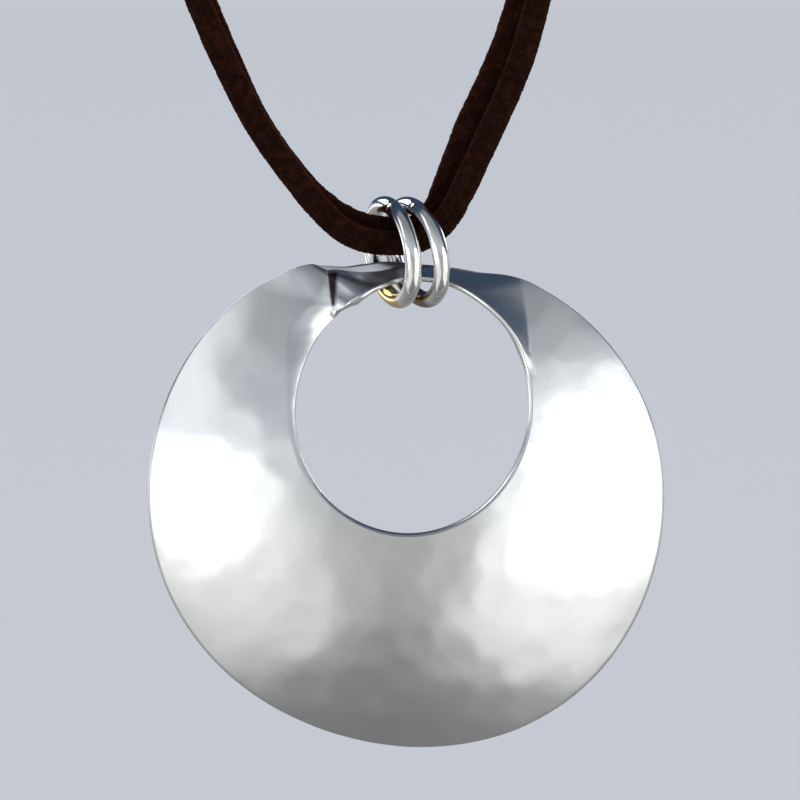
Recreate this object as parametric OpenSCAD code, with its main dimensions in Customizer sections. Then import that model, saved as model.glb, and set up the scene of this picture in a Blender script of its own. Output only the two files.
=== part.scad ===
// Disc pendant: a hammered, domed silver disc with a large off-centre hole,
// hung by two round jump rings from a doubled suede lace that goes round the neck.
// Origin: the underside of the clasp, where it sits on the nape of the neck.
// X is to the right as seen from the front, -Y is the front, Z is up. Millimetres.

/* [Disc] */
// Width of the blank
disc_w = 50.2; // [46:0.2:56]
// Height of the blank before its top is bent back
disc_h = 50.8; // [46:0.2:56]
// Thickness of the sheet
sheet_t = 1.1; // [0.8:0.1:1.5]
// Radius of the sphere that the blank is domed over
dome_r = 44; // [38:1:90]
// Sideways place of the disc's middle
disc_x = 8.7; // [0:0.1:16]
// How far the bottom hangs back, in degrees
disc_lean = 5.4; // [0:0.1:12]

/* [Hole] */
// Width across its short axis
hole_w = 22.9; // [18:0.1:28]
// Length along its long axis
hole_h = 24.2; // [18:0.1:28]
// Sideways offset of its middle from the disc's
hole_x = 0.5; // [-2:0.1:2]
// How far the top of its long axis leans to the right, in degrees
hole_tilt = 22; // [0:1:45]

/* [Top strip] */
// Width of the strip between the hole and the rim
strip_w = 3; // [2.6:0.1:3.4]
// Angle of the strip from upright
strip_bend = 72; // [55:1:75]
// Where the fold beside it meets the rim on the right, in degrees round the disc
fold_rim_right = 63; // [58:1:70]
// Where that fold meets the hole on the right, in degrees round the hole
fold_hole_right = 9; // [0:1:20]
// Where the other fold meets the rim on the left
fold_rim_left = 109; // [104:1:114]
// Where it meets the hole on the left
fold_hole_left = 131; // [124:1:138]
// Width of the band along the rim on the left that still faces the front
rim_band = 0.9; // [0.4:0.1:1.1]
// How much steeper the sheet is inside the folds
fold_steep = 0.3; // [0:0.05:0.4]
// How far the bend spreads on each side of a fold
fold_round = 0.5; // [0.3:0.05:0.8]

/* [Hammering] */
// Size of one hammer mark
hammer_d = 5; // [3:0.5:9]
// Depth of a mark
hammer_deep = 0.06; // [0:0.01:0.12]

/* [Jump rings] */
// Outside diameter
ring_d = 11.1; // [10.9:0.1:12]
// Diameter of the wire
wire_d = 1.65; // [1.4:0.05:1.8]
// Sideways place of the left ring
ring_left_x = 7.2; // [6.5:0.1:7.3]
// Sideways place of the right ring
ring_right_x = 9.6; // [9.5:0.1:10.2]
// How far the left ring is turned from side-on, in degrees
ring_left_turn = 25; // [20:1:32]
// How far the right ring is turned
ring_right_turn = 29; // [24:1:36]
// How far the left ring's top leans to the left, in degrees
ring_left_lean = 9; // [0:1:15]
// How far the right ring's top leans
ring_right_lean = 13; // [5:1:18]
// Play between the rings and the laces that they hang on
ring_play = 0.15; // [0.1:0.01:0.2]
// Play between the rings and the strip that lies in them
strip_play = 0.35; // [0.1:0.01:0.5]

/* [Laces] */
// Width of one flat lace
lace_w = 2.5; // [2:0.1:3]
// Its thickness
lace_t = 1.3; // [1:0.1:1.5]
// Gap between the two laces
lace_gap = 0.15; // [0.1:0.01:0.3]

/* [Clasp] */
// Length of the barrel
clasp_l = 26; // [20:0.5:30]
// Its diameter
clasp_d = 4.8; // [4.4:0.1:6]

/* [Hidden] */

// The doubled lace's route from the clasp's left end, down the left side, through the rings
// and up the right side. Columns: x, y, z of the pair's middle; turn, the degrees that the
// pair has rolled from facing the front to facing outwards; slide, how far the back lace
// sits inwards of the front one. It rests on a neck about 98 mm across.
route = [
    [-clasp_l / 2, 0, clasp_d / 2, 90, 0],
    [-20, 0, 0, 90, 0],
    [-28, 0, -4.5, 90, 0],
    [-36, -0.5, -12, 90, 0],
    [-43, -1, -21.5, 90, 0],
    [-48, -1.5, -32.5, 90, 0],
    [-50.5, -2.5, -45, 88, 0],
    [-50, -3, -58, 80, 0],
    [-47, -4, -68.5, 70, 0],
    [-41, -5, -84, 55, 0],
    [-33, -6.5, -104, 38, 0],
    [-25, -8, -124, 20, 0.2],
    [-18, -9.5, -141, 6, 0.3],
    [-11.5, -10.5, -157, 0, 0.4],
    [-8.8, -11, -163.3, 0, 0.3],
    [-5.7, -11.4, -169.5, 0, 0.1],
    [-2.2, -11.7, -174.4, 2, 0.1],
    [0.4, -11.9, -177.3, 5, 0.4],
    [2.7, -12, -179.1, 10, 0.8],
    [5, -12, -180, 15, 0.9],
    [7.6, -12, -180.2, 15, 0.9],
    [9.9, -12, -179.9, 15, 0.8],
    [11.8, -12, -178.3, 15, 1],
    [13.2, -11.9, -175.6, 12, 1.4],
    [15.8, -11.6, -169.5, 8, 2],
    [18.6, -11, -163.3, 5, 1.9],
    [20.6, -10.5, -157, 3, 1.6],
    [24, -9.8, -145, 6, 1.2],
    [29, -8.5, -128, 20, 0.8],
    [35.5, -7, -108, 38, 0.4],
    [41.5, -5.5, -88, 55, 0],
    [47, -4, -69.5, 70, 0],
    [50, -3, -58, 80, 0],
    [50.5, -2.5, -45, 88, 0],
    [48, -1.5, -32.5, 90, 0],
    [43, -1, -21.5, 90, 0],
    [36, -0.5, -12, 90, 0],
    [28, 0, -4.5, 90, 0],
    [20, 0, 0, 90, 0],
    [clasp_l / 2, 0, clasp_d / 2, 90, 0]
];
AT = [0, 1, 2];
TURN = 3;
SLIDE = 4;
BUNDLE = 20;

// The lace's section as shares of its half width and half thickness
lace_section = [
    [1, 0.45], [0.78, 1], [-0.78, 1], [-1, 0.45], [-1, -0.45], [-0.78, -1], [0.78, -1], [1, -0.45]
];

// Where the rings hang on the pair of laces, which spread to bundle_half_y each way there, and
// where the disc's strip lies in the rings, strip_front before their middle
stack_t = lace_t + lace_gap;
bundle = [route[BUNDLE][0], route[BUNDLE][1], route[BUNDLE][2]];
bundle_half_h = ((stack_t + lace_t) * sin(route[BUNDLE][TURN])
    + (lace_w + route[BUNDLE][SLIDE]) * cos(route[BUNDLE][TURN])) / 2;
bundle_half_y = 0.8 * lace_t;
ring_in_r = ring_d / 2 - wire_d;
ring_seat_r = ring_in_r - ring_play;
ring_z = bundle[2] + bundle_half_h - sqrt(pow(ring_seat_r, 2) - pow(bundle_half_y, 2));
strip_front = 0.9;
strip_low = sqrt(pow(ring_in_r - strip_play, 2) - pow(strip_front / cos(ring_right_turn), 2));
strip_z = ring_z - strip_low * cos(ring_right_lean) + sheet_t / 2 * sin(strip_bend);

// The rim's hand-cut outline. Columns: waves round the rim, share of the radius, degrees of a crest
rim_waves = [
    [2, 0.02, 150],
    [3, 0.004, 54],
    [4, 0.009, 32]
];
WAVES = 0;
SHARE = 1;
CREST = 2;

// The hole's middle, so that the strip over it has its width
hole_z = disc_h / 2 - strip_w
    - hole_w / 2 * pow(sin(hole_tilt), 2) - hole_h / 2 * pow(cos(hole_tilt), 2);

// In degrees: how long the strip's two ends take to turn into the dome, and how far past the
// rim's ends of the folds they start
strip_soft_right = 16;
strip_soft_left = 14;
strip_past_right = 5;
strip_past_left = 7;

// The rim band on the right, and the degrees over which it widens to the left one
band_right = 0.2;
band_from = 85;
band_full = 107;

// The least share of the way out at which a fold is drawn, the width up to which its depth
// grows, and the degrees over which it fades in and out at the hole
fold_least = 0.06;
fold_most_w = 3;
fold_fade_right = 40;
fold_fade_left = 8;
fold_past_left = 3;

// How far the rounded edges stand out, as a share of the sheet's thickness
edge_nose = 0.3;

// Hammer marks: waves that cross at odd angles. Columns: the two waves' directions as
// [x, z] against one mark's size, and their phases in degrees
hammer_waves = [
    [[1, 0.4], [-0.3, 1], 0, 0],
    [[0.7, 0.8], [0.7, -0.8], 40, 75],
    [[1.2, -0.2], [0, 0], 130, 90]
];
WAVE_A = 0;
WAVE_B = 1;
PHASE_A = 2;
PHASE_B = 3;

// The disc's mesh: length of a facet round the rim, and the steps round the hole that it gives;
// steps up to a fold, steps from the hole to the rim, and the step that a slope is taken over
rim_facet = 1.3;
round_steps = round(PI * disc_w / rim_facet);
fold_steps = 4;
disc_steps = 11;
finite_step = 0.01;

function unit(v) = v / norm(v);
function ease(x) = let(k = min(max(x, 0), 1)) k * k * (3 - 2 * k);
function mix(a, b, k) = a + (b - a) * k;
function soft_min(a, b, soft) = min(a, b) - pow(max(soft - abs(a - b), 0), 2) / (4 * soft);

// Plan points [x, z] of the hole's and the rim's edges
function hole_edge(angle) = let(
        across = hole_w / 2 * cos(angle + hole_tilt),
        along = hole_h / 2 * sin(angle + hole_tilt)
    ) [
        hole_x + across * cos(hole_tilt) + along * sin(hole_tilt),
        hole_z - across * sin(hole_tilt) + along * cos(hole_tilt)
    ];
function rim_share(angle, i = 0) = i == len(rim_waves) ? 1
    : rim_waves[i][SHARE] * cos(rim_waves[i][WAVES] * (angle - rim_waves[i][CREST])) + rim_share(angle, i + 1);
function rim_edge(angle) = rim_share(angle) * [disc_w / 2 * cos(angle), disc_h / 2 * sin(angle)];

// Depth of the dome behind the rim's plane, negative towards the front
function dome_y(p) = sqrt(pow(dome_r, 2) - pow(disc_w / 2, 2)) - sqrt(pow(dome_r, 2) - p * p);

// Depth of the broad shallow hammer marks
function marks_y(p, i = 0) = i == len(hammer_waves) ? 0
    : let(k = 180 / hammer_d, wave = hammer_waves[i])
        hammer_deep / len(hammer_waves)
            * sin(k * (wave[WAVE_A] * p) + wave[PHASE_A])
            * sin(k * (wave[WAVE_B] * p) + wave[PHASE_B])
        + marks_y(p, i + 1);

// 1 where the strip is bent back in full, 0 outside it
function strip_share(angle) = ease((angle - fold_rim_right + strip_past_right) / strip_soft_right)
    * ease((fold_rim_left + strip_past_left - angle) / strip_soft_left);

// Where a straight fold from the rim to the hole crosses a section, as a share of its way out
function fold_crossing(angle, at_rim, at_hole) = let(
        start = rim_edge(at_rim),
        along = hole_edge(at_hole) - start,
        across = [-along[1], along[0]],
        inner = hole_edge(angle)
    ) ((start - inner) * across) / ((rim_edge(angle) - inner) * across);

function fold_out(angle) = let(
        width = norm(rim_edge(angle) - hole_edge(angle)),
        band = mix(band_right, rim_band, ease((angle - band_from) / (band_full - band_from))),
        out = angle <= fold_hole_right || angle >= fold_hole_left ? 0
            : angle < fold_rim_right ? fold_crossing(angle, fold_rim_right, fold_hole_right)
            : angle > fold_rim_left ? fold_crossing(angle, fold_rim_left, fold_hole_left)
            : 1
    ) min(max(out, fold_least), 1 - band / width);

// How far the sheet is pushed back along a fold
function fold_depth(angle, fold_w) = fold_steep * min(fold_w, fold_most_w)
    * ease((angle - fold_hole_right) / fold_fade_right)
    * ease((fold_hole_left + fold_past_left - angle) / fold_fade_left);

// The middle of the sheet at an angle round the hole and a share of the way out to the rim.
// Up to the fold the strip is turned back about a level line through the hole's edge, and past
// the fold the sheet keeps the dome's slope.
function sheet_point(angle, out) = let(
        inner = hole_edge(angle),
        outer = rim_edge(angle),
        width = norm(outer - inner),
        fold = fold_out(angle),
        bent_out = soft_min(out, fold, fold_round / width),
        flat = mix(inner, outer, out),
        held = mix(inner, outer, bent_out),
        rise = held[1] - inner[1],
        share = strip_share(angle),
        back = dome_y([held[0], inner[1]]) + rise * sin(strip_bend) - dome_y(held),
        ridge = bent_out / fold - (1 - share) * (out - bent_out) / (1 - fold)
    ) [
        flat[0],
        dome_y(flat) + marks_y(flat) + back * share + ridge * fold_depth(angle, fold * width),
        flat[1] - rise * (1 - cos(strip_bend)) * share
    ];

function sheet_normal(angle, out) = unit(cross(
        sheet_point(angle + 1, out) - sheet_point(angle - 1, out),
        sheet_point(angle, out + finite_step) - sheet_point(angle, out - finite_step)
    ));

// The shares of the way out at which a section has its points
function section_out(angle) = let(fold = fold_out(angle)) [
        for (i = [0:disc_steps])
            i < fold_steps ? fold * i / fold_steps : mix(fold, 1, (i - fold_steps) / (disc_steps - fold_steps))
    ];

// One section of the disc: out along the front, round the rim, back along the rear, round the hole
function disc_section(angle) = let(
        half = sheet_t / 2,
        nose = edge_nose * sheet_t,
        shares = section_out(angle),
        hole_out = unit(sheet_point(angle, 0) - sheet_point(angle, finite_step)),
        rim_out = unit(sheet_point(angle, 1) - sheet_point(angle, 1 - finite_step))
    ) concat(
        [for (out = shares) sheet_point(angle, out) + sheet_normal(angle, out) * half],
        [sheet_point(angle, 1) + rim_out * nose],
        [for (i = [disc_steps:-1:0]) sheet_point(angle, shares[i]) - sheet_normal(angle, shares[i]) * half],
        [sheet_point(angle, 0) + hole_out * nose]
    );

// Triangles between neighbouring sections of m points each, round a closed loop of n sections
function loop_faces(n, m) = [
    for (i = [0:n - 1], j = [0:m - 1]) let(
        a = i * m + j,
        b = i * m + (j + 1) % m,
        c = ((i + 1) % n) * m + (j + 1) % m,
        d = ((i + 1) % n) * m + j
    ) each [[a, b, c], [a, c, d]]
];

// The same along an open row of sections, with both ends closed. Each half of a section splits
// its quads the other way, so two laces that twist side by side keep their gap.
function row_faces(n, m) = concat(
    [for (i = [0:n - 2], j = [0:m - 1]) let(
        a = i * m + j,
        b = i * m + (j + 1) % m,
        c = (i + 1) * m + (j + 1) % m,
        d = (i + 1) * m + j
    ) each j < m / 2 ? [[a, b, c], [a, c, d]] : [[a, b, d], [b, c, d]]],
    [[for (j = [m - 1:-1:0]) j]],
    [[for (j = [0:m - 1]) (n - 1) * m + j]]
);

// Points of the lace route, its direction, and the pair's two axes there
function route_at(i) = [for (k = AT) route[i][k]];
function route_along(i) = i == 0 || i == len(route) - 1
    ? [-1, 0, 0]
    : unit(route_at(i + 1) - route_at(i - 1));
function route_front(i) = let(t = route_along(i), f = [0, -1, 0]) unit(f - t * (f * t));
function route_outward(i) = cross(route_along(i), route_front(i));
function pair_face(i) =
    route_front(i) * cos(route[i][TURN]) + route_outward(i) * sin(route[i][TURN]);
function pair_side(i) =
    route_outward(i) * cos(route[i][TURN]) - route_front(i) * sin(route[i][TURN]);

// The middle of one lace at a route point: side is 1 for the front lace and -1 for the back one
function lace_at(i, side) =
    route_at(i) + (pair_face(i) * stack_t + pair_side(i) * route[i][SLIDE]) * side / 2;

module lace(side) {
    points = [
        for (i = [0:len(route) - 1], s = lace_section)
            lace_at(i, side) + pair_side(i) * s[0] * lace_w / 2 + pair_face(i) * s[1] * lace_t / 2
    ];
    polyhedron(points, row_faces(len(route), len(lace_section)));
}

module jump_ring(x, turn, lean) {
    translate([x, bundle[1], ring_z])
        rotate([0, -lean, 0])
            rotate([0, 90, turn])
                rotate_extrude($fn = 96)
                    translate([ring_in_r + wire_d / 2, 0])
                        circle(d = wire_d, $fn = 32);
}

module disc() {
    points = [for (i = [0:round_steps - 1]) each disc_section(i * 360 / round_steps)];
    top = sheet_point(90, 0);
    color("silver")
        translate([disc_x + top[0], bundle[1] - strip_front, strip_z])
            rotate([disc_lean, 0, 0])
                translate(-top)
                    polyhedron(points, loop_faces(round_steps, 2 * disc_steps + 4));
}

module ring_left() {
    color("gainsboro") jump_ring(ring_left_x, ring_left_turn, ring_left_lean);
}

module ring_right() {
    color("gainsboro") jump_ring(ring_right_x, ring_right_turn, ring_right_lean);
}

module lace_front() {
    color([0.16, 0.08, 0.05]) lace(1);
}

module lace_back() {
    color([0.13, 0.06, 0.04]) lace(-1);
}

module clasp() {
    color("silver")
        translate([-clasp_l / 2, 0, clasp_d / 2])
            rotate([0, 90, 0])
                cylinder(h = clasp_l, d = clasp_d, $fn = 48);
}

disc();
ring_left();
ring_right();
lace_front();
lace_back();
clasp();
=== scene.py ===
"""Disc pendant: a hammered silver disc on two jump rings and a doubled suede lace.

The frame's axes: X is to the right in the picture, -Y to the front, Z up. The origin is the
underside of the clasp at the nape. The part's own sizes are in millimetres, and add_mesh turns
them into the scene's metres.
"""

import math

import bpy
import numpy as np
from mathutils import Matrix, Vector


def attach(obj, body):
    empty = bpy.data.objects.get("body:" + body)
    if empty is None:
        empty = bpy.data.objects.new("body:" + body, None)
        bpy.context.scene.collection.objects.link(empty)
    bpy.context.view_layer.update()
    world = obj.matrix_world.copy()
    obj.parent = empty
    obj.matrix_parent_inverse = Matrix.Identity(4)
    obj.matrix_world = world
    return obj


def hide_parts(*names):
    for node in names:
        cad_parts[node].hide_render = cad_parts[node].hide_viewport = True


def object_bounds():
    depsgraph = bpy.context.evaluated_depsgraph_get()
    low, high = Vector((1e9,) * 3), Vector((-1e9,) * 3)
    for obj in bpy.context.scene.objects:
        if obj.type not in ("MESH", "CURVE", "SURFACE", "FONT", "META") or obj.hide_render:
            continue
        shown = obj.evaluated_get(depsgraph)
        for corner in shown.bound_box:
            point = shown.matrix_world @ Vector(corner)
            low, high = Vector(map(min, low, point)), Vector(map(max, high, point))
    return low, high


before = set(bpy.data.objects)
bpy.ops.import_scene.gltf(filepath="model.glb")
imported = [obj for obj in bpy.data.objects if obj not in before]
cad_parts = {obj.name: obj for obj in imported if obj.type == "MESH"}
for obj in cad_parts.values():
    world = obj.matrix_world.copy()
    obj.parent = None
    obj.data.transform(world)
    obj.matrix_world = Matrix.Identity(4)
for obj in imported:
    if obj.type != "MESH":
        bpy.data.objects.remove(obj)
CAD_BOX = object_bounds()
MM = 0.001
X, Y, Z = 0, 1, 2

# The picture, in metres: 78.4 mm across at the disc, seen from a little above
AIM = Vector((0.0080, -0.0120, -0.1963))
CAMERA_AWAY = 0.325
CAMERA_ELEVATION = 6.8
PICTURE_ACROSS = 0.0784
SENSOR = 36.0
NEAREST = 0.01
FARTHEST = 1000.0

# The clasp and the laces, as the frame has them
CLASP_L = 26.0
CLASP_D = 4.8
LACE_W = 2.5
LACE_T = 1.3
LACE_GAP = 0.15

# The laces' route. Columns: x, y, z of the pair's middle; turn from facing the front to facing
# outwards, in degrees; slide of the back lace inwards
ROUTE = np.array([
    [-CLASP_L / 2 + 1, 0, CLASP_D / 2, 90, 0],
    [-CLASP_L / 2, 0, CLASP_D / 2, 90, 0],
    [-20, 0, 0, 90, 0],
    [-28, 0, -4.5, 90, 0],
    [-36, -0.5, -12, 90, 0],
    [-43, -1, -21.5, 90, 0],
    [-48, -1.5, -32.5, 90, 0],
    [-50.5, -2.5, -45, 88, 0],
    [-50, -3, -58, 80, 0],
    [-47, -4, -68.5, 70, 0],
    [-41, -5, -84, 55, 0],
    [-33, -6.5, -104, 38, 0],
    [-25, -8, -124, 20, 0.2],
    [-18, -9.5, -141, 6, 0.3],
    [-11.5, -10.5, -157, 0, 0.4],
    [-8.8, -11, -163.3, 0, 0.3],
    [-5.7, -11.4, -169.5, 0, 0.1],
    [-2.2, -11.7, -174.4, 2, 0.1],
    [0.4, -11.9, -177.3, 5, 0.4],
    [2.7, -12, -179.1, 10, 0.8],
    [5, -12, -180, 15, 0.9],
    [7.6, -12, -180.2, 15, 0.9],
    [9.9, -12, -179.9, 15, 0.8],
    [11.8, -12, -178.3, 15, 1],
    [13.2, -11.9, -175.6, 12, 1.4],
    [15.8, -11.6, -169.5, 8, 2],
    [18.6, -11, -163.3, 5, 1.9],
    [20.6, -10.5, -157, 3, 1.6],
    [24, -9.8, -145, 6, 1.2],
    [29, -8.5, -128, 20, 0.8],
    [35.5, -7, -108, 38, 0.4],
    [41.5, -5.5, -88, 55, 0],
    [47, -4, -69.5, 70, 0],
    [50, -3, -58, 80, 0],
    [50.5, -2.5, -45, 88, 0],
    [48, -1.5, -32.5, 90, 0],
    [43, -1, -21.5, 90, 0],
    [36, -0.5, -12, 90, 0],
    [28, 0, -4.5, 90, 0],
    [20, 0, 0, 90, 0],
    [CLASP_L / 2, 0, CLASP_D / 2, 90, 0],
    [CLASP_L / 2 - 1, 0, CLASP_D / 2, 90, 0],
])
XYZ = slice(0, 3)
TURN = 3
SLIDE = 4
ROUTE_STEPS = 60

# A lace's section: its points, how square it is, and the nap's height
LACE_SIDES = 36
LACE_SQUARENESS = 3.2
NAP = 0.045

# How a lace's width and thickness wander about their mean shares. Columns: rows of the route
# between knots, share
WIDTH_SHARE = 0.99
WIDTH_WAVES = ((22, 0.025), (8, 0.015))
THICKNESS_SHARE = 0.96
THICKNESS_WAVES = ((17, 0.03),)

# The disc, as the frame has it. Angles round the hole are in degrees, from its right over its top
DISC_W = 50.2
DISC_H = 50.8
SHEET_T = 1.1
DOME_R = 44.0
DISC_X = 8.7
DISC_LEAN = 5.4
HOLE_W = 22.9
HOLE_H = 24.2
HOLE_X = 0.5
HOLE_TILT = 22.0
STRIP_W = 3.0
STRIP_BEND = 72.0
STRIP_SOFT_RIGHT = 16.0
STRIP_SOFT_LEFT = 14.0
STRIP_PAST_RIGHT = 5.0
STRIP_PAST_LEFT = 7.0
STRIP_BACK_PAST_LEFT = 3.0
STRIP_PLACE = (-12.9, -184.592)
FOLD_RIM_RIGHT = 63.0
FOLD_HOLE_RIGHT = 9.0
FOLD_RIM_LEFT = 109.0
FOLD_HOLE_LEFT = 131.0
FOLD_ROUND = 0.35
FOLD_LEAST = 0.06
FOLD_CORNER = 0.12

# The rim beside the strip that stays unbent: its width on the right and on the left, and where
# one becomes the other
BAND_RIGHT = 0.2
BAND_LEFT = 1.2
BAND_FROM = 85.0
BAND_SOFT = 15.0

# Columns: waves round the rim, share of the radius, degrees of a crest
RIM_WAVES = [[2, 0.02, 150], [3, 0.004, 54], [4, 0.009, 32]]


# Sums that the pieces share

def ease(x):
    k = np.clip(x, 0, 1)
    return k * k * (3 - 2 * k)


def window(angle, rise, fall):
    """1 between two eased ends. Each end is a pair: where it starts and where it is over."""
    return ease((angle - rise[0]) / (rise[1] - rise[0])) * ease((fall[1] - angle) / (fall[1] - fall[0]))


def mix(a, b, k):
    return a + (b - a) * k


def unit(v):
    return v / np.linalg.norm(v, axis=-1, keepdims=True)


def soft_min(a, b, soft):
    """The lesser of the two, rounded where they are closer than soft."""
    return np.minimum(a, b) - np.maximum(soft - np.abs(a - b), 0) ** 2 / (4 * soft)


def full_turn(count):
    return np.linspace(0, 2 * math.pi, count, endpoint=False)


def rotate(points, axis, degrees):
    """The points turned about X, Y or Z by the right-hand rule."""
    a, b = (axis + 1) % 3, (axis + 2) % 3
    c, s = math.cos(math.radians(degrees)), math.sin(math.radians(degrees))
    turned = points.copy()
    turned[..., a] = points[..., a] * c - points[..., b] * s
    turned[..., b] = points[..., a] * s + points[..., b] * c
    return turned


# Meshes

def grid_faces(n, m, closed):
    """Quads between n sections of m points each, with the row of sections closed or open."""
    last = n if closed else n - 1
    return [[i * m + j, i * m + (j + 1) % m, (i + 1) % n * m + (j + 1) % m, (i + 1) % n * m + j]
            for i in range(last) for j in range(m)]


def end_faces(n, m):
    """The two ends of an open row of sections."""
    return [list(range(m))[::-1], list(range((n - 1) * m, n * m))]


def add_mesh(name, points, faces, body):
    """A smooth mesh in metres, from points in millimetres, that rides on a body."""
    mesh = bpy.data.meshes.new(name)
    mesh.from_pydata((np.reshape(points, (-1, 3)) * MM).tolist(), [], faces)
    mesh.validate()
    mesh.polygons.foreach_set("use_smooth", [True] * len(mesh.polygons))
    piece = bpy.data.objects.new(name, mesh)
    bpy.context.collection.objects.link(piece)
    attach(piece, body)
    return piece


# Camera

def direction(azimuth, elevation):
    """The way from AIM to a place that many degrees round to the right and up."""
    a = math.radians(azimuth)
    e = math.radians(elevation)
    return Vector((math.sin(a) * math.cos(e), -math.cos(a) * math.cos(e), math.sin(e)))


def add_camera():
    camera = bpy.data.objects.new("camera", bpy.data.cameras.new("camera"))
    camera.data.sensor_width = SENSOR
    camera.data.lens = SENSOR * CAMERA_AWAY / PICTURE_ACROSS
    camera.data.clip_start = NEAREST
    camera.data.clip_end = FARTHEST
    back = direction(0, CAMERA_ELEVATION)
    camera.location = AIM + back * CAMERA_AWAY
    camera.rotation_euler = (-back).to_track_quat("-Z", "Y").to_euler()
    bpy.context.collection.objects.link(camera)
    bpy.context.scene.camera = camera


# Laces

def smooth_route():
    """The route's columns on one smooth curve through its points."""
    ends = np.vstack([2 * ROUTE[0] - ROUTE[1], ROUTE, 2 * ROUTE[-1] - ROUTE[-2]])
    rows = []
    for i in range(len(ROUTE) - 1):
        a, b, c, d = ends[i:i + 4]
        for t in np.arange(ROUTE_STEPS) / ROUTE_STEPS:
            rows.append(0.5 * (2 * b + (c - a) * t + (2 * a - 5 * b + 4 * c - d) * t ** 2
                               + (3 * b - a - 3 * c + d) * t ** 3))
    rows.append(ROUTE[-1])
    return np.array(rows)


def lace_axes(route):
    """The ways that the pair's face and its outer side look, at each row of the route."""
    along = unit(np.gradient(route[:, XYZ], axis=0))
    along[0] = along[-1] = (-1, 0, 0)
    front = np.array([0.0, -1.0, 0.0])
    front = unit(front - along * (along @ front)[:, None])
    outward = np.cross(along, front)
    turn = np.radians(route[:, TURN])[:, None]
    face = front * np.cos(turn) + outward * np.sin(turn)
    side = outward * np.cos(turn) - front * np.sin(turn)
    return face, side


def slow_noise(rng, count, every, strength):
    """A smooth random row: knots a few rows apart, joined by easing."""
    knots = rng.uniform(-1, 1, count // every + 3)
    at = np.arange(count) / every
    i = at.astype(int)
    return strength * mix(knots[i], knots[i + 1], ease(at - i))


def wandering(rng, count, share, waves):
    """A column of shares, one for each row of the lace."""
    return (share + sum(slow_noise(rng, count, *wave) for wave in waves))[:, None]


def nap_noise(rng, count):
    nap = rng.uniform(-NAP, NAP, (count, LACE_SIDES))
    return (nap + np.roll(nap, 1, 0) + np.roll(nap, 1, 1)) / 2


def squarish_section():
    """Shares of the half width and half thickness, round a section with rounded corners."""
    turn = full_turn(LACE_SIDES)
    reach = np.abs(np.cos(turn)) ** LACE_SQUARENESS + np.abs(np.sin(turn)) ** LACE_SQUARENESS
    reach = reach ** (-1 / LACE_SQUARENESS)
    return np.cos(turn) * reach, -np.sin(turn) * reach


def add_lace(name, side_sign, seed):
    rng = np.random.default_rng(seed)
    route = smooth_route()
    count = len(route)
    face, side = lace_axes(route)
    middle = route[:, XYZ] + (face * (LACE_T + LACE_GAP) + side * route[:, SLIDE:]) * side_sign / 2
    half_w = LACE_W / 2 * wandering(rng, count, WIDTH_SHARE, WIDTH_WAVES)
    half_t = LACE_T / 2 * wandering(rng, count, THICKNESS_SHARE, THICKNESS_WAVES)
    nap = nap_noise(rng, count)
    across, over = squarish_section()
    points = (middle[:, None] + side[:, None] * ((half_w + nap) * across)[..., None]
              + face[:, None] * ((half_t + nap) * over)[..., None])
    faces = grid_faces(count, LACE_SIDES, False) + end_faces(count, LACE_SIDES)
    piece = add_mesh(name + "_suede", points, faces, "cord")
    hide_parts(name)
    return piece


# Disc. A point of the sheet is given by its angle round the hole and by out, its share of the
# way from the hole's edge to the rim

# This leaves the strip's width above the hole's edge at 90 degrees
HOLE_Z = (DISC_H / 2 - STRIP_W - HOLE_W / 2 * math.sin(math.radians(HOLE_TILT)) ** 2
          - HOLE_H / 2 * math.cos(math.radians(HOLE_TILT)) ** 2)


def hole_edge(angle):
    """x and z at each angle."""
    tilt = math.radians(HOLE_TILT)
    across = HOLE_W / 2 * np.cos(np.radians(angle) + tilt)
    along = HOLE_H / 2 * np.sin(np.radians(angle) + tilt)
    return np.stack([HOLE_X + across * math.cos(tilt) + along * math.sin(tilt),
                     HOLE_Z - across * math.sin(tilt) + along * math.cos(tilt)], -1)


def rim_edge(angle):
    """x and z at each angle."""
    share = 1 + sum(s * np.cos(np.radians(waves * (angle - crest))) for waves, s, crest in RIM_WAVES)
    turn = np.radians(angle)
    return np.stack([DISC_W / 2 * np.cos(turn) * share, DISC_H / 2 * np.sin(turn) * share], -1)


def dome_y(p):
    return math.sqrt(DOME_R ** 2 - (DISC_W / 2) ** 2) - np.sqrt(DOME_R ** 2 - (p ** 2).sum(-1))


def strip_share(angle, past_left):
    """How far the strip is bent: 1 between the folds and 0 well outside them."""
    start = FOLD_RIM_RIGHT - STRIP_PAST_RIGHT
    end = FOLD_RIM_LEFT + past_left
    return window(angle, (start, start + STRIP_SOFT_RIGHT), (end - STRIP_SOFT_LEFT, end))


def fold_crossing(angle, at_rim, at_hole):
    """Where a straight fold, between two angles at the rim and at the hole, crosses this angle."""
    start = rim_edge(np.array(at_rim))
    along = hole_edge(np.array(at_hole)) - start
    across = np.array([-along[1], along[0]])
    inner = hole_edge(angle)
    return ((start - inner) @ across) / ((rim_edge(angle) - inner) @ across)


def fold_out(angle):
    """How far out the fold is at each angle, as the share that sheet_point takes."""
    width = np.linalg.norm(rim_edge(angle) - hole_edge(angle), axis=-1)
    band = mix(BAND_RIGHT, BAND_LEFT, ease((angle - BAND_FROM) / BAND_SOFT))
    right = fold_crossing(angle, FOLD_RIM_RIGHT, FOLD_HOLE_RIGHT)
    left = fold_crossing(angle, FOLD_RIM_LEFT, FOLD_HOLE_LEFT)
    unbent = (angle <= FOLD_HOLE_RIGHT) | (angle >= FOLD_HOLE_LEFT)
    out = np.select([unbent, angle < FOLD_RIM_RIGHT, angle > FOLD_RIM_LEFT], [0, right, left], 1)
    return np.maximum(soft_min(out, 1 - band / width, FOLD_CORNER), FOLD_LEAST)


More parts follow.
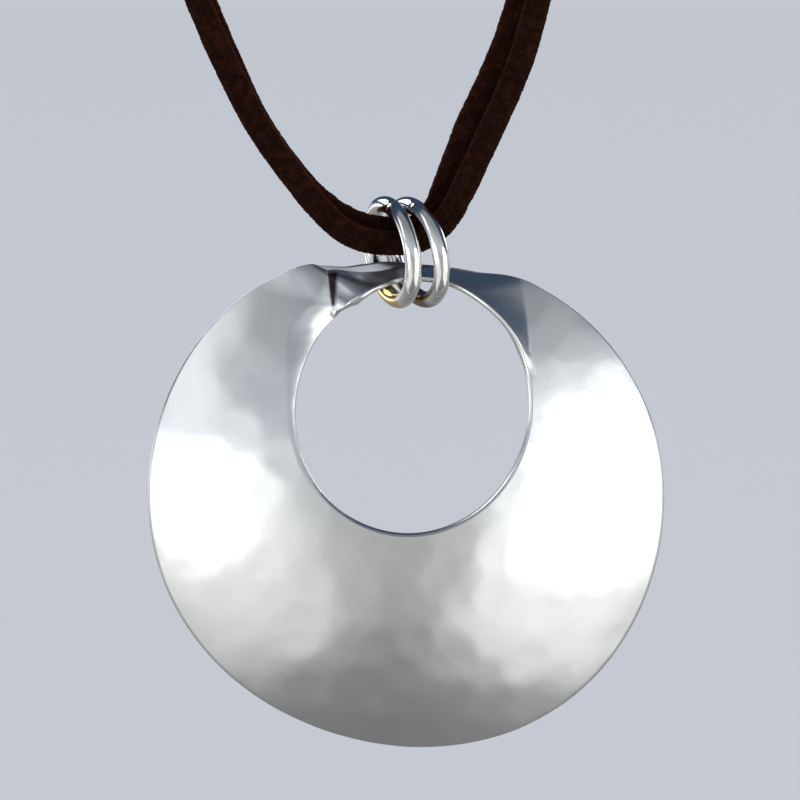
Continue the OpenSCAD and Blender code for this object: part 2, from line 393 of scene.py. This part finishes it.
# Hammer marks: shallow round dents on a jittered grid, fainter in the strip
MARK_SEED = 11
MARK_REACH = 27
MARK_SPACING = 3.6
MARK_JITTER = 1.5
MARK_RADIUS = (2.0, 3.6)
MARK_DEPTH = 0.08
MARK_LEAST = 0.2
MARK_POWER = 1.5
MARK_LOSS_IN_STRIP = 0.8


def hammer_marks():
    """Columns: x, z, radius, depth."""
    rng = np.random.default_rng(MARK_SEED)
    reach = np.arange(-MARK_REACH, MARK_REACH + 1, MARK_SPACING)
    x, z = np.meshgrid(reach, reach)
    x = x.ravel() + rng.uniform(-MARK_JITTER, MARK_JITTER, x.size)
    z = z.ravel() + rng.uniform(-MARK_JITTER, MARK_JITTER, z.size)
    radius = rng.uniform(*MARK_RADIUS, x.size)
    depth = rng.uniform(MARK_LEAST, 1.0, x.size) * MARK_DEPTH
    return np.stack([x, z, radius, depth], -1)


MARKS = hammer_marks()


def marks_y(p):
    depth = np.zeros(p.shape[:-1])
    for x, z, radius, deep in MARKS:
        near = np.clip(1 - ((p[..., 0] - x) ** 2 + (p[..., 1] - z) ** 2) / radius ** 2, 0, 1)
        depth += deep * near ** MARK_POWER
    return depth


# On the upper left the sheet is rolled back, beside the fold and then along the hole's edge.
# Columns: degrees round the hole, width
ROLL = np.array([
    [104, 0.0], [110, 0.15], [114, 0.4], [120, 1.1], [126, 2.3], [132, 3.1], [138, 3.2], [144, 2.8],
    [150, 2.2], [156, 1.6], [162, 1.15], [170, 0.75], [180, 0.5], [190, 0.36], [205, 0.26], [225, 0.0],
])
ROLL_SLOPE = 0.45
ROLL_POWER = 1.3
ROLL_LEAST = 1e-6

# Up to these angles the roll starts at the fold, and past them at the hole's edge
ROLL_FROM_FOLD = (FOLD_HOLE_LEFT - 11, FOLD_HOLE_LEFT + 5)


def smooth_row(angle, table):
    """The table's second column at each angle, on one smooth curve through its points."""
    slopes = np.gradient(table[:, 1], table[:, 0])
    i = np.clip(np.searchsorted(table[:, 0], angle) - 1, 0, len(table) - 2)
    step = table[i + 1, 0] - table[i, 0]
    t = np.clip((angle - table[i, 0]) / step, 0, 1)
    start, end = table[i, 1], table[i + 1, 1]
    return ((1 + 2 * t) * (1 - t) ** 2 * start + t * (1 - t) ** 2 * step * slopes[i]
            + t ** 2 * (3 - 2 * t) * end - t ** 2 * (1 - t) * step * slopes[i + 1])


def roll_y(angle, run):
    width = np.maximum(smooth_row(angle, ROLL), ROLL_LEAST)
    return ROLL_SLOPE * width * np.clip(1 - run / width, 0, 1) ** ROLL_POWER


# At both ends of the strip the hole's edge stands forward of the fold. Columns: how far, the
# angles where it rises, the angles where it falls
POPS = [(1.5, (14, 50), (52, 76)), (1.8, (98, 116), (120, 134))]


def pop_y(angle, inside):
    return -inside * sum(far * window(angle, rise, fall) for far, rise, fall in POPS)


# The rim beside the strip's left half is tipped forward
TIP_SLOPE = 0.38
TIP_W = 1.6
TIP_ROUND = 0.6
TIP_AT = ((91, 99), (112, 126))


def tip_y(angle, past_fold):
    return -TIP_SLOPE * window(angle, *TIP_AT) * soft_min(past_fold, TIP_W, TIP_ROUND)


def sheet_point(angle, out):
    """The middle of the sheet's thickness, in the disc's own axes."""
    inner = hole_edge(angle)
    outer = rim_edge(angle)
    width = np.linalg.norm(outer - inner, axis=-1)
    fold = fold_out(angle)
    bent_out = soft_min(out, fold, np.minimum(FOLD_ROUND / width, fold))
    flat = mix(inner, outer, out[..., None])
    held = mix(inner, outer, bent_out[..., None])
    rise = held[..., 1] - inner[..., 1]
    share = strip_share(angle, STRIP_PAST_LEFT)
    share_back = strip_share(angle, STRIP_BACK_PAST_LEFT)
    bend = math.radians(STRIP_BEND)
    level = np.stack([held[..., 0], inner[..., 1]], -1)
    back = dome_y(level) + rise * math.sin(bend) - dome_y(held)
    marks = marks_y(flat) * (1 - MARK_LOSS_IN_STRIP * share)
    roll_start, roll_end = ROLL_FROM_FOLD
    past_fold = (out - bent_out * ease((roll_end - angle) / (roll_end - roll_start))) * width
    y = (dome_y(flat) + marks + back * share_back + roll_y(angle, past_fold)
         + pop_y(angle, 1 - bent_out / fold) + tip_y(angle, past_fold))
    return np.stack([flat[..., 0], y, flat[..., 1] - rise * (1 - math.cos(bend)) * share], -1)


def disc_place(points):
    """From the disc's own axes to where it leans and hangs by the hole's top edge."""
    top = sheet_point(np.array([90.0]), np.array([0.0]))[0]
    return rotate(points - top, X, DISC_LEAN) + (DISC_X + top[X], *STRIP_PLACE)


# The disc's mesh: sections round the hole, points from the hole to the fold and on to the rim,
# points round each edge, and a back with fewer points
DISC_ROUND = 720
DISC_IN = 22
DISC_OUT = 58
EDGE_STEPS = 7
BACK_EVERY = 3

# How far the rounded edges stand out, and the share of its thickness that the sheet loses from
# behind at the hole's edge beside the strip
NOSE = 0.3
NOSE_AT_STRIP = 0.1
EDGE_THINNER = 0.5
THINNER_AT = ((15, 45), (110, 125))

# How far to each side the sheet is felt for its direction, in degrees and as a share
FEEL_ANGLE = 0.25
FEEL_OUT = 0.004


def sheet_normal(angles, out):
    """The way that the sheet's front faces."""
    outward = sheet_point(angles, out + FEEL_OUT) - sheet_point(angles, out - FEEL_OUT)
    onward = sheet_point(angles + FEEL_ANGLE, out) - sheet_point(angles - FEEL_ANGLE, out)
    return unit(np.cross(outward, onward))


def edge_nose(front, back, outward, reach):
    """Points round an edge, from its front to its back."""
    turns = np.linspace(0.5, -0.5, EDGE_STEPS + 2)[1:-1] * math.pi
    return np.stack([mix(back, front, (1 + math.sin(k)) / 2) + outward * reach * math.cos(k)
                     for k in turns], 1)


def add_disc():
    angle = np.linspace(0, 360, DISC_ROUND, endpoint=False)
    fold = fold_out(angle)[:, None]
    to_fold = np.linspace(0, 1, DISC_IN, endpoint=False) * fold
    to_rim = mix(fold, 1, np.linspace(0, 1, DISC_OUT + 1))
    out = np.concatenate([to_fold, to_rim], 1)
    angles = np.repeat(angle[:, None], out.shape[1], 1)
    middle = sheet_point(angles, out)
    normal = sheet_normal(angles, out)
    at_strip = window(angle, *THINNER_AT)[:, None]
    thinner = EDGE_THINNER * at_strip * np.clip(1 - out / fold, 0, 1)
    front = middle + normal * SHEET_T / 2
    back = middle - normal * SHEET_T * (0.5 - thinner)[..., None]
    rim_out = unit(middle[:, -1] - middle[:, -2])
    hole_out = unit(middle[:, 0] - middle[:, 1])
    rim = edge_nose(front[:, -1], back[:, -1], rim_out, NOSE)
    hole = edge_nose(front[:, 0], back[:, 0], hole_out, mix(NOSE, NOSE_AT_STRIP, at_strip))
    last = out.shape[1] - 1
    coarse = [*range(0, last, BACK_EVERY), last]
    sections = np.concatenate([front, rim, back[:, ::-1][:, coarse], hole[:, ::-1]], 1)
    piece = add_mesh("disc_silver", disc_place(sections), grid_faces(*sections.shape[:2], True), "disc")
    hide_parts("disc")
    return piece


# Jump rings. Columns: name, place sideways, turn from side-on, lean of the top to the left
RINGS = [
    ("ring_left", 7.2, 25.0, 9.0),
    ("ring_right", 9.6, 29.0, 13.0),
]
RING_D = 11.1
WIRE_D = 1.65
RING_Y = -12.0
RING_Z = -181.805
RING_ROUND = 240
WIRE_ROUND = 40

# The wire's slight waves, and the closed cut in the ring, whose place and width are in degrees
RING_WAVES = (2, 3, 5)
WAVE_DEPTH = 0.002
WAVE_PHASE = 6
SEAM_AT = 205.0
SEAM_WIDTH = 0.8
SEAM_DEPTH = 0.05


def add_ring(name, x, turn, lean, seed):
    rng = np.random.default_rng(seed)
    around = full_turn(RING_ROUND)
    wire = full_turn(WIRE_ROUND)
    wave = sum(rng.uniform(-WAVE_DEPTH, WAVE_DEPTH) * np.cos(k * around + rng.uniform(0, WAVE_PHASE))
               for k in RING_WAVES)
    seam = np.exp(-((np.degrees(around) - SEAM_AT) / SEAM_WIDTH) ** 2) * SEAM_DEPTH
    wire_r = (WIRE_D / 2 + wave - seam)[:, None]
    ring_r = RING_D / 2 - WIRE_D / 2 + wire_r * np.cos(wire)
    flat = np.stack([ring_r * np.cos(around)[:, None], ring_r * np.sin(around)[:, None],
                     -wire_r * np.sin(wire)], -1)
    points = rotate(rotate(rotate(flat, Y, 90), Z, turn), Y, -lean) + (x, RING_Y, RING_Z)
    piece = add_mesh(name + "_wire", points, grid_faces(RING_ROUND, WIRE_ROUND, True), "rings")
    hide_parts(name)
    return piece


# Clasp: half of the barrel's outline from its open left end to its middle. Columns: x, radius
CLASP_OUTLINE = [
    (-11.6, 0.4), (-11.8, 1.9), (-12.8, 1.95), (-13.0, 2.1), (-12.9, 2.3), (-12.6, 2.4), (-12.3, 2.32),
    (-12.1, 2.15), (-11.8, 2.08), (-8.0, 2.08), (-7.7, 2.12), (-7.5, 2.3), (-7.2, 2.38), (-6.9, 2.3),
    (-6.7, 2.1), (-6.3, 2.06), (-4.0, 2.2), (-1.0, 2.3), (-0.5, 2.28), (-0.3, 2.18), (-0.2, 2.0),
]
CLASP_ROUND = 64


def add_clasp():
    half = np.array(CLASP_OUTLINE)
    outline = np.vstack([half, (half * (-1, 1))[::-1]])
    n = len(outline)
    around = full_turn(CLASP_ROUND)
    x = np.repeat(outline[:, :1], CLASP_ROUND, 1)
    radius = outline[:, 1:]
    points = np.stack([x, radius * np.cos(around), CLASP_D / 2 + radius * np.sin(around)], -1)
    faces = grid_faces(n, CLASP_ROUND, False) + end_faces(n, CLASP_ROUND)
    piece = add_mesh("clasp_barrel", points, faces, "cord")
    smooth = piece.modifiers.new("smooth", "SUBSURF")
    smooth.levels = smooth.render_levels = 1
    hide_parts("clasp")
    return piece


# Materials

class NodeTree:
    """Short ways to add nodes to a tree."""

    def __init__(self, tree):
        self.tree = tree

    def link(self, socket, to):
        self.tree.links.new(socket, to)

    def add(self, kind, links=None, **settings):
        node = self.tree.nodes.new("ShaderNode" + kind)
        for key, value in settings.items():
            if key in node.inputs:
                node.inputs[key].default_value = value
            else:
                setattr(node, key, value)
        for key, socket in (links or {}).items():
            self.link(socket, node.inputs[key])
        return node

    def noise(self, place, scale, detail, roughness=0.5):
        node = self.add("TexNoise", {"Vector": place}, Scale=scale, Detail=detail, Roughness=roughness)
        return node.outputs["Fac"]

    def maths(self, operation, *terms):
        """Each term is a number or a socket."""
        node = self.add("Math", operation=operation)
        for term, to in zip(terms, node.inputs):
            if isinstance(term, (int, float)):
                to.default_value = term
            else:
                self.link(term, to)
        return node.outputs["Value"]

    def product(self, first, *others):
        for other in others:
            first = self.maths("MULTIPLY", first, other)
        return first

    def rescale(self, value, low, high):
        """0 to 1 becomes low to high."""
        ends = {"To Min": low, "To Max": high}
        return self.add("MapRange", {"Value": value}, **ends).outputs["Result"]

    def step(self, value, start, end):
        """0 before the start, 1 past the end and straight between them."""
        ends = {"From Min": start, "From Max": end}
        return self.add("MapRange", {"Value": value}, **ends).outputs["Result"]

    def parts(self, vector):
        return self.add("SeparateXYZ", {"Vector": vector}).outputs

    def ramp(self, factor, stops):
        node = self.add("ValToRGB", {"Fac": factor})
        elements = node.color_ramp.elements
        while len(elements) < len(stops):
            elements.new(0.5)
        for element, (position, colour) in zip(elements, stops):
            element.position = position
            element.color = (*colour, 1)
        return node.outputs["Color"]

    def tinted(self, colour, mask, tint):
        node = self.add("Mix", data_type="RGBA")
        self.link(mask, node.inputs["Factor"])
        self.link(colour, node.inputs["A"])
        node.inputs["B"].default_value = (*tint, 1)
        return node.outputs["Result"]

    def bump(self, height, strength, distance):
        node = self.add("Bump", {"Height": height}, Strength=strength, Distance=distance)
        return node.outputs["Normal"]


class Nodes(NodeTree):
    """A new material with its main shader."""

    def __init__(self, name):
        self.material = bpy.data.materials.new(name)
        self.material.use_nodes = True
        super().__init__(self.material.node_tree)
        self.shader = self.tree.nodes["Principled BSDF"]

    def place(self):
        return self.add("TexCoord").outputs["Object"]

    def feed(self, name, socket):
        self.link(socket, self.shader.inputs[name])

    def set(self, **values):
        for name, value in values.items():
            self.shader.inputs[name.replace("_", " ")].default_value = value


# Painted shade in the left fold: a dark wedge on its right side, where the crease lies in shade. Its
# left side runs from TOP to BOTTOM, which are x and z, and it is wider by OPENS for each millimetre up
CREASE_PAINTED_SHADE = (0.05, 0.035, 0.04)
CREASE_TOP = (0.834, -183.6)
CREASE_BOTTOM = (1.338, -187.2)
CREASE_OPENS = 0.2
CREASE_SOFT_LEFT = 0.12
CREASE_SOFT_RIGHT = (0.6, 0.2)
CREASE_SOFT_TOP = 0.3
CREASE_SOFT_BOTTOM = 0.4


def crease_painted_shade_mask(n, place):
    way = n.parts(place)
    x, z = way["X"], way["Z"]
    (top_x, top_z), (low_x, low_z) = CREASE_TOP, CREASE_BOTTOM
    lean = (top_x - low_x) / (top_z - low_z)
    line = n.maths("MULTIPLY_ADD", z, -lean, (lean * low_z - low_x) * MM)
    across = n.maths("ADD", x, line)
    opening = n.maths("MULTIPLY_ADD", z, -CREASE_OPENS, CREASE_OPENS * low_z * MM)
    narrowed = n.maths("ADD", across, opening)
    right_end, right_start = CREASE_SOFT_RIGHT
    return n.product(
        n.step(across, 0, CREASE_SOFT_LEFT * MM),
        n.step(narrowed, right_end * MM, right_start * MM),
        n.step(z, low_z * MM, (low_z + CREASE_SOFT_BOTTOM) * MM),
        n.step(z, top_z * MM, (top_z - CREASE_SOFT_TOP) * MM),
    )


def silver_sheet():
    n = Nodes("sheet_silver")
    n.set(Metallic=1.0)
    place = n.place()
    cloud = n.noise(place, scale=90.0, detail=4.0, roughness=0.55)
    smudge = n.noise(place, scale=260.0, detail=5.0, roughness=0.6)
    grain = n.noise(place, scale=700.0, detail=3.0)
    colour = n.ramp(cloud, [(0.3, (0.775, 0.79, 0.775)), (0.7, (0.88, 0.905, 0.90))])
    # The dark wedge mixed into the colour here is painted shade in the crease
    n.feed("Base Color", n.tinted(colour, crease_painted_shade_mask(n, place), CREASE_PAINTED_SHADE))
    n.feed("Roughness", n.rescale(smudge, low=0.24, high=0.36))
    n.feed("Normal", n.bump(grain, strength=0.06, distance=0.0002))
    return n.material


# Where the colour painted on a ring's underside begins and is full: low down, and at the rear, where
# the ring passes under the disc. On the left ring it is a painted warm reflection, and on the right
# ring it is painted shade
PAINTED_UNDERSIDE_LOW = (-184.5, -185.3)
PAINTED_UNDERSIDE_REAR = (-13.8, -12.8)
RING_UNDERSIDE_PAINT = {"ring_left": (0.78, 0.56, 0.24), "ring_right": (0.22, 0.17, 0.14)}


def silver_wire(name, underside_paint=None):
    """Polished silver. The rear of a ring's bottom, where it lies under the disc, can be given painted
    light: a painted warm reflection on the left ring and painted shade on the right.
    """
    n = Nodes(name)
    n.set(Metallic=1.0)
    place = n.place()
    cloud = n.noise(place, scale=300.0, detail=3.0)
    colour = n.ramp(cloud, [(0.35, (0.86, 0.855, 0.83)), (0.7, (0.93, 0.93, 0.92))])
    # Painted light on the ring's underside under the disc: a painted warm reflection on the left ring,
    # painted shade on the right
    if underside_paint:
        way = n.parts(place)
        low = n.step(way["Z"], *(z * MM for z in PAINTED_UNDERSIDE_LOW))
        rear = n.step(way["Y"], *(y * MM for y in PAINTED_UNDERSIDE_REAR))
        colour = n.tinted(colour, n.product(low, rear), underside_paint)
    n.feed("Base Color", colour)
    n.feed("Roughness", n.rescale(cloud, low=0.08, high=0.18))
    return n.material


def suede():
    n = Nodes("suede")
    place = n.place()
    nap = n.noise(place, scale=5200.0, detail=4.0, roughness=0.7)
    brushed = n.noise(place, scale=1100.0, detail=4.0, roughness=0.65)
    n.feed("Base Color", n.ramp(n.product(nap, brushed), [
        (0.14, (0.0030, 0.0008, 0.0005)),
        (0.25, (0.0080, 0.0019, 0.0012)),
        (0.36, (0.027, 0.0065, 0.0035)),
    ]))
    n.set(Roughness=1.0, Specular_IOR_Level=0.08, Sheen_Weight=0.12, Sheen_Roughness=0.5,
          Sheen_Tint=(0.60, 0.20, 0.07, 1))
    n.feed("Normal", n.bump(n.maths("ADD", nap, brushed), strength=1.0, distance=0.0002))
    return n.material


def paint(piece, material):
    piece.data.materials.clear()
    piece.data.materials.append(material)


# Studio, in metres

FLOOR_DROP = 0.50
FLOOR_SIZE = 600.0
FLOOR_COLOUR = (0.70, 0.72, 0.76, 1)


def add_floor():
    """A floor so wide that its end meets the world at the horizon."""
    z = CAD_BOX[0][Z] - FLOOR_DROP
    corners = [(x * FLOOR_SIZE, y * FLOOR_SIZE, z) for x, y in ((-1, -1), (1, -1), (1, 1), (-1, 1))]
    mesh = bpy.data.meshes.new("floor")
    mesh.from_pydata(corners, [], [(0, 1, 2, 3)])
    floor = bpy.data.objects.new("floor", mesh)
    bpy.context.collection.objects.link(floor)
    floor.visible_glossy = False
    n = Nodes("floor")
    n.set(Base_Color=FLOOR_COLOUR, Roughness=0.9)
    paint(floor, n.material)


# Columns: name, degrees round to the right, degrees up, distance, width, height, brightness
LIGHTS = [
    ("left_box", -60, -14, 0.55, 0.28, 0.22, 1.9),
    ("left_glow", -56, -30, 0.60, 0.60, 0.60, 0.55),
    ("right_box", 54, -9, 0.55, 0.34, 0.42, 1.9),
    ("right_glow", 54, -30, 0.60, 0.62, 0.74, 0.75),
    ("front_glow", 0, -34, 0.60, 0.50, 0.30, 0.12),
    ("edge_box", -125, 35, 0.55, 0.30, 0.30, 2.0),
    ("rim_glow", -65, 22, 0.55, 0.16, 0.34, 0.90),
    ("ring_left_box", -120, -3, 0.55, 0.22, 0.14, 1.9),
    ("ring_right_box", 138, 15, 0.55, 0.50, 0.14, 1.6),
]

# The floor's own light, which makes no reflections. Angles in degrees
SUN_STRENGTH = 2.3
SUN_SPREAD = 40
SUN_TILT = 20

# How bright the studio is, from straight below to straight above
WORLD_TONES = [
    (0.00, (0.19, 0.19, 0.20)),
    (0.12, (0.26, 0.26, 0.26)),
    (0.30, (0.34, 0.34, 0.32)),
    (0.48, (0.542, 0.574, 0.635)),
    (0.54, (0.542, 0.574, 0.635)),
    (0.75, (0.34, 0.36, 0.38)),
    (0.88, (0.22, 0.24, 0.27)),
    (1.00, (0.24, 0.26, 0.28)),
]

# The dark blue high behind the pendant: its tone, how much its sides come forward, and where it
# begins and is full, to the back and upwards
BACK_TONE = (0.036, 0.058, 0.105)
BACK_SIDES = 0.35
BACK_BEHIND = (-0.10, 0.05)
BACK_ABOVE = (0.03, 0.16)


def add_light(name, azimuth, elevation, away, width, height, brightness):
    light = bpy.data.lights.new(name, "AREA")
    light.shape = "RECTANGLE"
    light.size = width
    light.size_y = height
    light.energy = brightness * math.pi * width * height
    lamp = bpy.data.objects.new(name, light)
    back = direction(azimuth, elevation)
    lamp.location = AIM + back * away
    lamp.rotation_euler = back.to_track_quat("Z", "Y").to_euler()
    lamp.visible_camera = False
    bpy.context.collection.objects.link(lamp)


def add_floor_light():
    sun = bpy.data.objects.new("floor_light", bpy.data.lights.new("floor_light", "SUN"))
    sun.data.energy = SUN_STRENGTH
    sun.data.angle = math.radians(SUN_SPREAD)
    sun.rotation_euler = (math.radians(SUN_TILT), 0, 0)
    sun.visible_glossy = False
    bpy.context.collection.objects.link(sun)


def add_world():
    world = bpy.data.worlds.new("studio")
    world.use_nodes = True
    n = NodeTree(world.node_tree)
    way = n.parts(n.add("TexCoord").outputs["Generated"])
    tones = n.ramp(n.step(way["Z"], -1, 1), WORLD_TONES)
    behind = n.maths("MULTIPLY_ADD", n.maths("ABSOLUTE", way["X"]), BACK_SIDES, way["Y"])
    mask = n.product(n.step(behind, *BACK_BEHIND), n.step(way["Z"], *BACK_ABOVE))
    n.link(n.tinted(tones, mask, BACK_TONE), n.tree.nodes["Background"].inputs["Color"])
    bpy.context.scene.world = world


add_camera()
lace_front = add_lace("lace_front", side_sign=1, seed=3)
lace_back = add_lace("lace_back", side_sign=-1, seed=5)
disc = add_disc()
rings = [add_ring(*row, seed) for seed, row in enumerate(RINGS)]
clasp = add_clasp()

leather = suede()
paint(lace_front, leather)
paint(lace_back, leather)
paint(disc, silver_sheet())
# The rings get a painted warm reflection (left) and painted shade (right) where they pass under the
# disc
paint(rings[0], silver_wire("wire_silver_left", RING_UNDERSIDE_PAINT["ring_left"]))
paint(rings[1], silver_wire("wire_silver_right", RING_UNDERSIDE_PAINT["ring_right"]))
paint(clasp, silver_wire("clasp_silver"))

add_floor()
for row in LIGHTS:
    add_light(*row)
add_floor_light()
add_world()
bpy.context.scene.view_settings.view_transform = "Standard"
